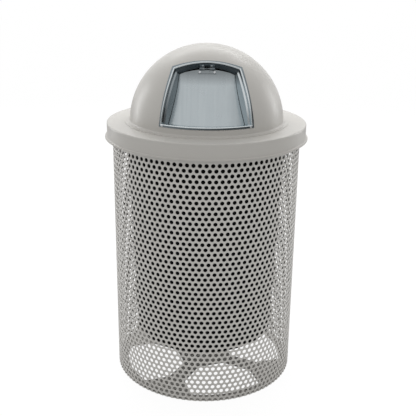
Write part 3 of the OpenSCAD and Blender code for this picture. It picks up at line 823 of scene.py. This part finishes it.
# %% Painted shadow wedge
WEDGE_START, WEDGE_RUN = 0.03, 0.27     # its foot and its length, as shares of the wall's height
WEDGE_DEPTH = 7.4                       # of its middle line under the flange, in mm
WEDGE_TIP, WEDGE_SPREAD = 0.4, 3.4      # half its width at the tip, and what the foot adds


def wedge_spot(across, along):
    """A point on the left wall, across from the fold inwards and along from the corner up."""
    near = bow_at(LOW, HIGH, SIDE_BOW, WEDGE_START + WEDGE_RUN * along)
    half = WEDGE_TIP + WEDGE_SPREAD * (1 - along)
    depth = WEDGE_DEPTH + half * (2 * across - 1)
    return placed(inwards(Vector((0.6 - near.x, near.y)), depth))


shape = bmesh.new()
bmesh.ops.create_grid(shape, x_segments=3, y_segments=12, size=0.5)
for v in shape.verts:
    v.co = wedge_spot(v.co.x + 0.5, v.co.y + 0.5)
bmesh.ops.recalc_face_normals(shape, faces=shape.faces)
face_up(shape, (-130, -200, DOME_Z + 50, 1, 0, 0))
bmesh.ops.solidify(shape, geom=shape.faces[:], thickness=0.5 * MM)
# painted shadow: a black sheet where the gap between wall and door lies in shade
end_piece(shape, "shadow_wedge", "lid", "black_rubber", turn_out=False)

# %% [markdown]
# The door is a plain sheet rolled to a large radius. A flat grid is a good start: its rows are
# widened to the outline, its upper rows are arched, and each point is then sent along its ray
# from the dome's centre on to the rolled surface.

# %% Door
DOOR_LAP = 5                        # how far the door reaches past the frame's walls


def door_point(across, up):
    """A point of the door seen from the front; across runs from -1 to 1, up from 0 to 1."""
    side = bow_at((LOW[0] + DOOR_LAP, LOW[1] - DOOR_LAP), (HIGH[0] + DOOR_LAP, HIGH[1] - 3),
                  SIDE_BOW, up)
    return Vector((across * side.x, side.y + TOP_BOW * up * up * (1 - across * across)))


shape = bmesh.new()
bmesh.ops.create_grid(shape, x_segments=44, y_segments=30, size=1)
for v in shape.verts:
    v.co = placed(to_door(on_dome(door_point(v.co.x, (v.co.y + 1) / 2), DOME_R), 0))
bmesh.ops.recalc_face_normals(shape, faces=shape.faces)
face_up(shape, (0, -160, DOME_Z + 110, 0, -1, 0.5))
bmesh.ops.solidify(shape, geom=shape.faces[:], thickness=1.2 * MM)
push_door = end_piece(shape, "push_door", "door", "plated_steel", ["door_panel"],
                      turn_out=False, crease=40)
push_door.data.materials[0] = door_plated

# %% [markdown]
# The door lands on two slim rubber strips at the foot of the frame's side walls. Each starts as a
# bar with rounded long edges, and its points are then laid along the wall's foot.

# %% Rubber strips
STRIP_W, STRIP_H = 2.8, 5               # mm along the door and off it
STRIP_RUN = 0.28                        # length, as a share of the wall's height
STRIP_AT = (0.6, 0.18, 2.7)             # middle of the bar, as laid() takes it


def laid(spot):
    """Where a point of the bar goes: x outwards, y along the wall's foot, z off the door."""
    near = bow_at(LOW, HIGH, SIDE_BOW, spot.y)
    return placed(to_door(on_dome(Vector((near.x + spot.x, near.y)), DOME_R), spot.z))


shape = bmesh.new()
bmesh.ops.create_cube(shape, size=1)
bmesh.ops.scale(shape, vec=(STRIP_W, STRIP_RUN, STRIP_H), verts=shape.verts)
bmesh.ops.translate(shape, vec=STRIP_AT, verts=shape.verts)
long_edges = [e for e in shape.edges if abs(e.verts[0].co.y - e.verts[1].co.y) > 0.2]
bmesh.ops.subdivide_edges(shape, edges=long_edges, cuts=9)
for v in shape.verts:
    v.co = laid(v.co)
rims = [e for e in shape.edges if e.calc_face_angle() > 1]
rounded(shape, rims, 0.5, 3)
bmesh.ops.mirror(shape, geom=whole(shape), axis="X", merge_dist=0)
end_piece(shape, "landing_strips", "lid", "black_rubber", ["door_bumpers"])

# %% [markdown]
# The closing spring is one wire. A small circle is spun about the hinge's pin while it creeps
# along it, which is a spin with a shift, and both ends run out straight as legs.

# %% Spring
PIN = Vector((0, -127.4247, 1043.0887)) * MM
WALL_SLOPE = math.radians(27.91)    # the frame's top wall against the door's normal
LEG = 9 * MM                        # length of each leg
COIL_R = 3.2 * MM
WIRE_R = 0.5 * MM
COIL_HALF = 7.4 * MM
COIL_TURNS = 7 + (math.pi / 2 - WALL_SLOPE) / (2 * math.pi)


def round_pin(angle, reach):
    """A vector square to the pin; angle 0 is up along the door, a quarter turn is out of it."""
    return (DOOR_UP * math.cos(angle) + DOOR_OUT * math.sin(angle)) * reach


def coil_spot(turned, along):
    """A place on the wire's middle line, by its angle past the start and its way along."""
    return PIN + Vector((along, 0, 0)) + round_pin(-WALL_SLOPE - turned, COIL_R)


def leg(shape, edges, way):
    """Runs an open end of the wire out along way, rounds its tip and closes it."""
    for step, size in ((way * 0.97, 1), (way * 0.03, 0.55)):
        edges, fresh = extruded(shape, edges)
        bmesh.ops.translate(shape, vec=step, verts=fresh)
        middle = sum((v.co for v in fresh), Vector()) / len(fresh)
        for v in fresh:
            v.co = middle + (v.co - middle) * size
    bmesh.ops.edgeloop_fill(shape, edges=edges)


coil_steps = round(24 * COIL_TURNS)
turn_all = 2 * math.pi * COIL_TURNS
start_way = coil_spot(0.01, -COIL_HALF * (1 - 0.02 / turn_all)) - coil_spot(0, -COIL_HALF)
shape = bmesh.new()
ring = bmesh.ops.create_circle(shape, segments=12, radius=WIRE_R)["verts"]
bmesh.ops.rotate(shape, cent=(0, 0, 0), verts=ring,
                 matrix=start_way.to_track_quat("Z", "X").to_matrix())
bmesh.ops.translate(shape, vec=coil_spot(0, -COIL_HALF), verts=ring)
first = shape.edges[:]
wound = bmesh.ops.spin(shape, geom=ring + first, cent=PIN, axis=(1, 0, 0),
                       dvec=(2 * COIL_HALF / coil_steps, 0, 0), angle=-turn_all, steps=coil_steps)
last = [g for g in wound["geom_last"] if isinstance(g, bmesh.types.BMEdge)]
ends = [v.co for e in last for v in e.verts]
missed = sum(ends, Vector()) / len(ends) - coil_spot(turn_all, COIL_HALF)
print("coil ends", missed.length / MM, "mm off")
leg(shape, first, round_pin(math.pi / 2 - WALL_SLOPE, LEG) + round_pin(-WALL_SLOPE, 1.2 * MM))
leg(shape, last, round_pin(math.pi, LEG))
end_piece(shape, "closing_spring", "lid", "spring_wire", ["hinge_spring"], crease=60)

# %% [markdown]
# The screws have a pan head with a cross recess. One screw is spun from its section, the recess
# is cut with two bars, and copies of it stand square to the dome in the frame's lower corners and
# square to the door in the hinge's leaf. The leaf on the frame is held by rivets with round heads.

# %% One screw
RECESS_L, RECESS_W, RECESS_DEEP = 4.4, 0.9, 1.2
RECESS_FLOOR = 0.9                  # height of the recess's floor over the head's underside


def recess_bar(length, width):
    """A bar that lies across the screw's top, as a cutter."""
    shape = bmesh.new()
    bmesh.ops.create_cube(shape, size=1)
    bmesh.ops.scale(shape, vec=Vector((length, width, RECESS_DEEP)) * MM, verts=shape.verts)
    bmesh.ops.translate(shape, vec=(0, 0, (RECESS_FLOOR + RECESS_DEEP / 2) * MM),
                        verts=shape.verts)
    return to_object(shape, "recess")


def screw_mesh(length):
    """A screw that stands at the origin: head up, with its underside at height 0."""
    shank = [(0, -length), (1.3, -length), (2, -length + 1), (2, 0)]
    shape = section(shank + [(4, 0), (4, 2), (0, 2)], [(5, 1.5, 6)])
    spun(shape, 32)
    thing = to_object(shape, "screw")
    cut(thing, recess_bar(RECESS_L, RECESS_W))
    cut(thing, recess_bar(RECESS_W, RECESS_L))
    mesh = thing.data
    bpy.data.objects.remove(thing)
    return mesh


def standing(mesh, spots):
    """Copies of a mesh at (place in mm about the dome's centre, direction, turn) spots."""
    shape = bmesh.new()
    for spot, way, turn in spots:
        before = set(shape.verts)
        shape.from_mesh(mesh)
        fresh = [v for v in shape.verts if v not in before]
        stand = way.to_track_quat("Z", "X").to_matrix()
        stand = stand @ Matrix.Rotation(math.radians(turn), 3, "Z")
        bmesh.ops.rotate(shape, cent=(0, 0, 0), matrix=stand, verts=fresh)
        bmesh.ops.translate(shape, vec=placed(spot), verts=fresh)
    return shape


# %% Screws of the frame
CORNER_SCREW_X, CORNER_SCREW_Z = 130.5, 30.8    # seen from the front, over the dome's centre

spots = []
for side, turn in ((-1, 20), (1, 65)):
    corner = Vector((side * CORNER_SCREW_X, CORNER_SCREW_Z))
    outwards = on_dome(corner, DOME_R).normalized()
    spots.append((outwards * (FLANGE_R + 0.1), outwards, turn))
end_piece(standing(screw_mesh(8.7), spots), "corner_screws", "lid", "zinc_hardware",
          ["frame_screws"])

# %% Screws of the hinge
LEAF_SCREW_X, RIVET_X = 22, 13          # distance from the hinge's middle
LEAF_DROP = 10                          # distance of screws and rivets from the pin
HEAD_OFF_DOOR = 1.7                     # the leaf's thickness and two welds

pin_from_centre = PIN / MM - Vector((0, 0, DOME_Z))
pin_up = pin_from_centre.dot(DOOR_UP)
spots = []
for side, turn in ((-1, 10), (1, 50)):
    swung = side * math.asin(LEAF_SCREW_X / DOOR_BEND)
    outwards = DOOR_OUT * math.cos(swung) + Vector((math.sin(swung), 0, 0))
    foot = DOOR_UP * (pin_up - LEAF_DROP) + DOOR_OUT * (DOOR_FACE - DOOR_BEND)
    spots.append((foot + outwards * (DOOR_BEND + HEAD_OFF_DOOR), outwards, turn))
end_piece(standing(screw_mesh(7.9), spots), "leaf_screws", "door", "zinc_hardware",
          ["hinge_screws"])

# %% Rivets of the hinge
# a rivet has a round head on each side of the leaf and the wall
shape = section([(0, -7.5), (2.7, -7.5), (2.7, -6.5), (1.5, -6.5),
                 (1.5, -2), (2.7, -2), (2.7, -1), (0, -1)], [(1, 0.8, 4), (7, 0.8, 4)])
spun(shape, 28)
mesh = bpy.data.meshes.new("rivet")
shape.to_mesh(mesh)
shape.free()
along_wall = DOOR_UP * math.sin(WALL_SLOPE) + DOOR_OUT * math.cos(WALL_SLOPE)
from_wall = DOOR_OUT * math.sin(WALL_SLOPE) - DOOR_UP * math.cos(WALL_SLOPE)
middle = pin_from_centre + along_wall * LEAF_DROP
spots = [(middle + Vector((side * RIVET_X, 0, 0)), from_wall, 0) for side in (-1, 1)]
end_piece(standing(mesh, spots), "leaf_rivets", "lid", "zinc_hardware", ["hinge_rivets"])

# %% [markdown]
# The liner is a tapered bin of moulded plastic with a rounded floor edge, a flat rim that hangs
# in the body's ring, and a hand hole on each side. It is spun like the lid, and both hand holes
# are cut by one long bar with round edges.

# %% Liner
LINER_FLOOR, LINER_RIM = 134, 844.3
HAND_HOLE_Z = 0.8003                # height of the hand holes' middle, in metres

shape = section([(0, LINER_FLOOR), (232, LINER_FLOOR), (257, LINER_RIM), (281, LINER_RIM),
                 (281, LINER_RIM + 7)], [(1, 12, 6), (2, 2.5, 3), (3, 2, 3)])
spun(shape, 180)
face_up(shape, (245, 0, 500, 1, 0, 0))
bmesh.ops.solidify(shape, geom=shape.faces[:], thickness=3 * MM)
liner = end_piece(shape, "liner_bin", "liner", "liner_plastic", ["liner"], turn_out=False)

shape = bmesh.new()
bar = bmesh.ops.create_grid(shape, x_segments=1, y_segments=1, size=0.5)["verts"]
bmesh.ops.scale(shape, vec=(32 * MM, 104 * MM, 1), verts=bar)
rounded(shape, bar, 15.9, 8, affect="VERTICES")
upright = Matrix.Rotation(math.pi / 2, 3, "Y")
bmesh.ops.rotate(shape, cent=(0, 0, 0), matrix=upright, verts=shape.verts)
bmesh.ops.translate(shape, vec=(-0.3, 0, HAND_HOLE_Z), verts=shape.verts)
grown = bmesh.ops.extrude_face_region(shape, geom=shape.faces[:])["geom"]
bmesh.ops.translate(shape, vec=(0.6, 0, 0), verts=verts_of(grown))
bmesh.ops.recalc_face_normals(shape, faces=shape.faces)
cut(liner, to_object(shape, "bar"))
print("liner faces with hand holes:", len(liner.data.polygons))
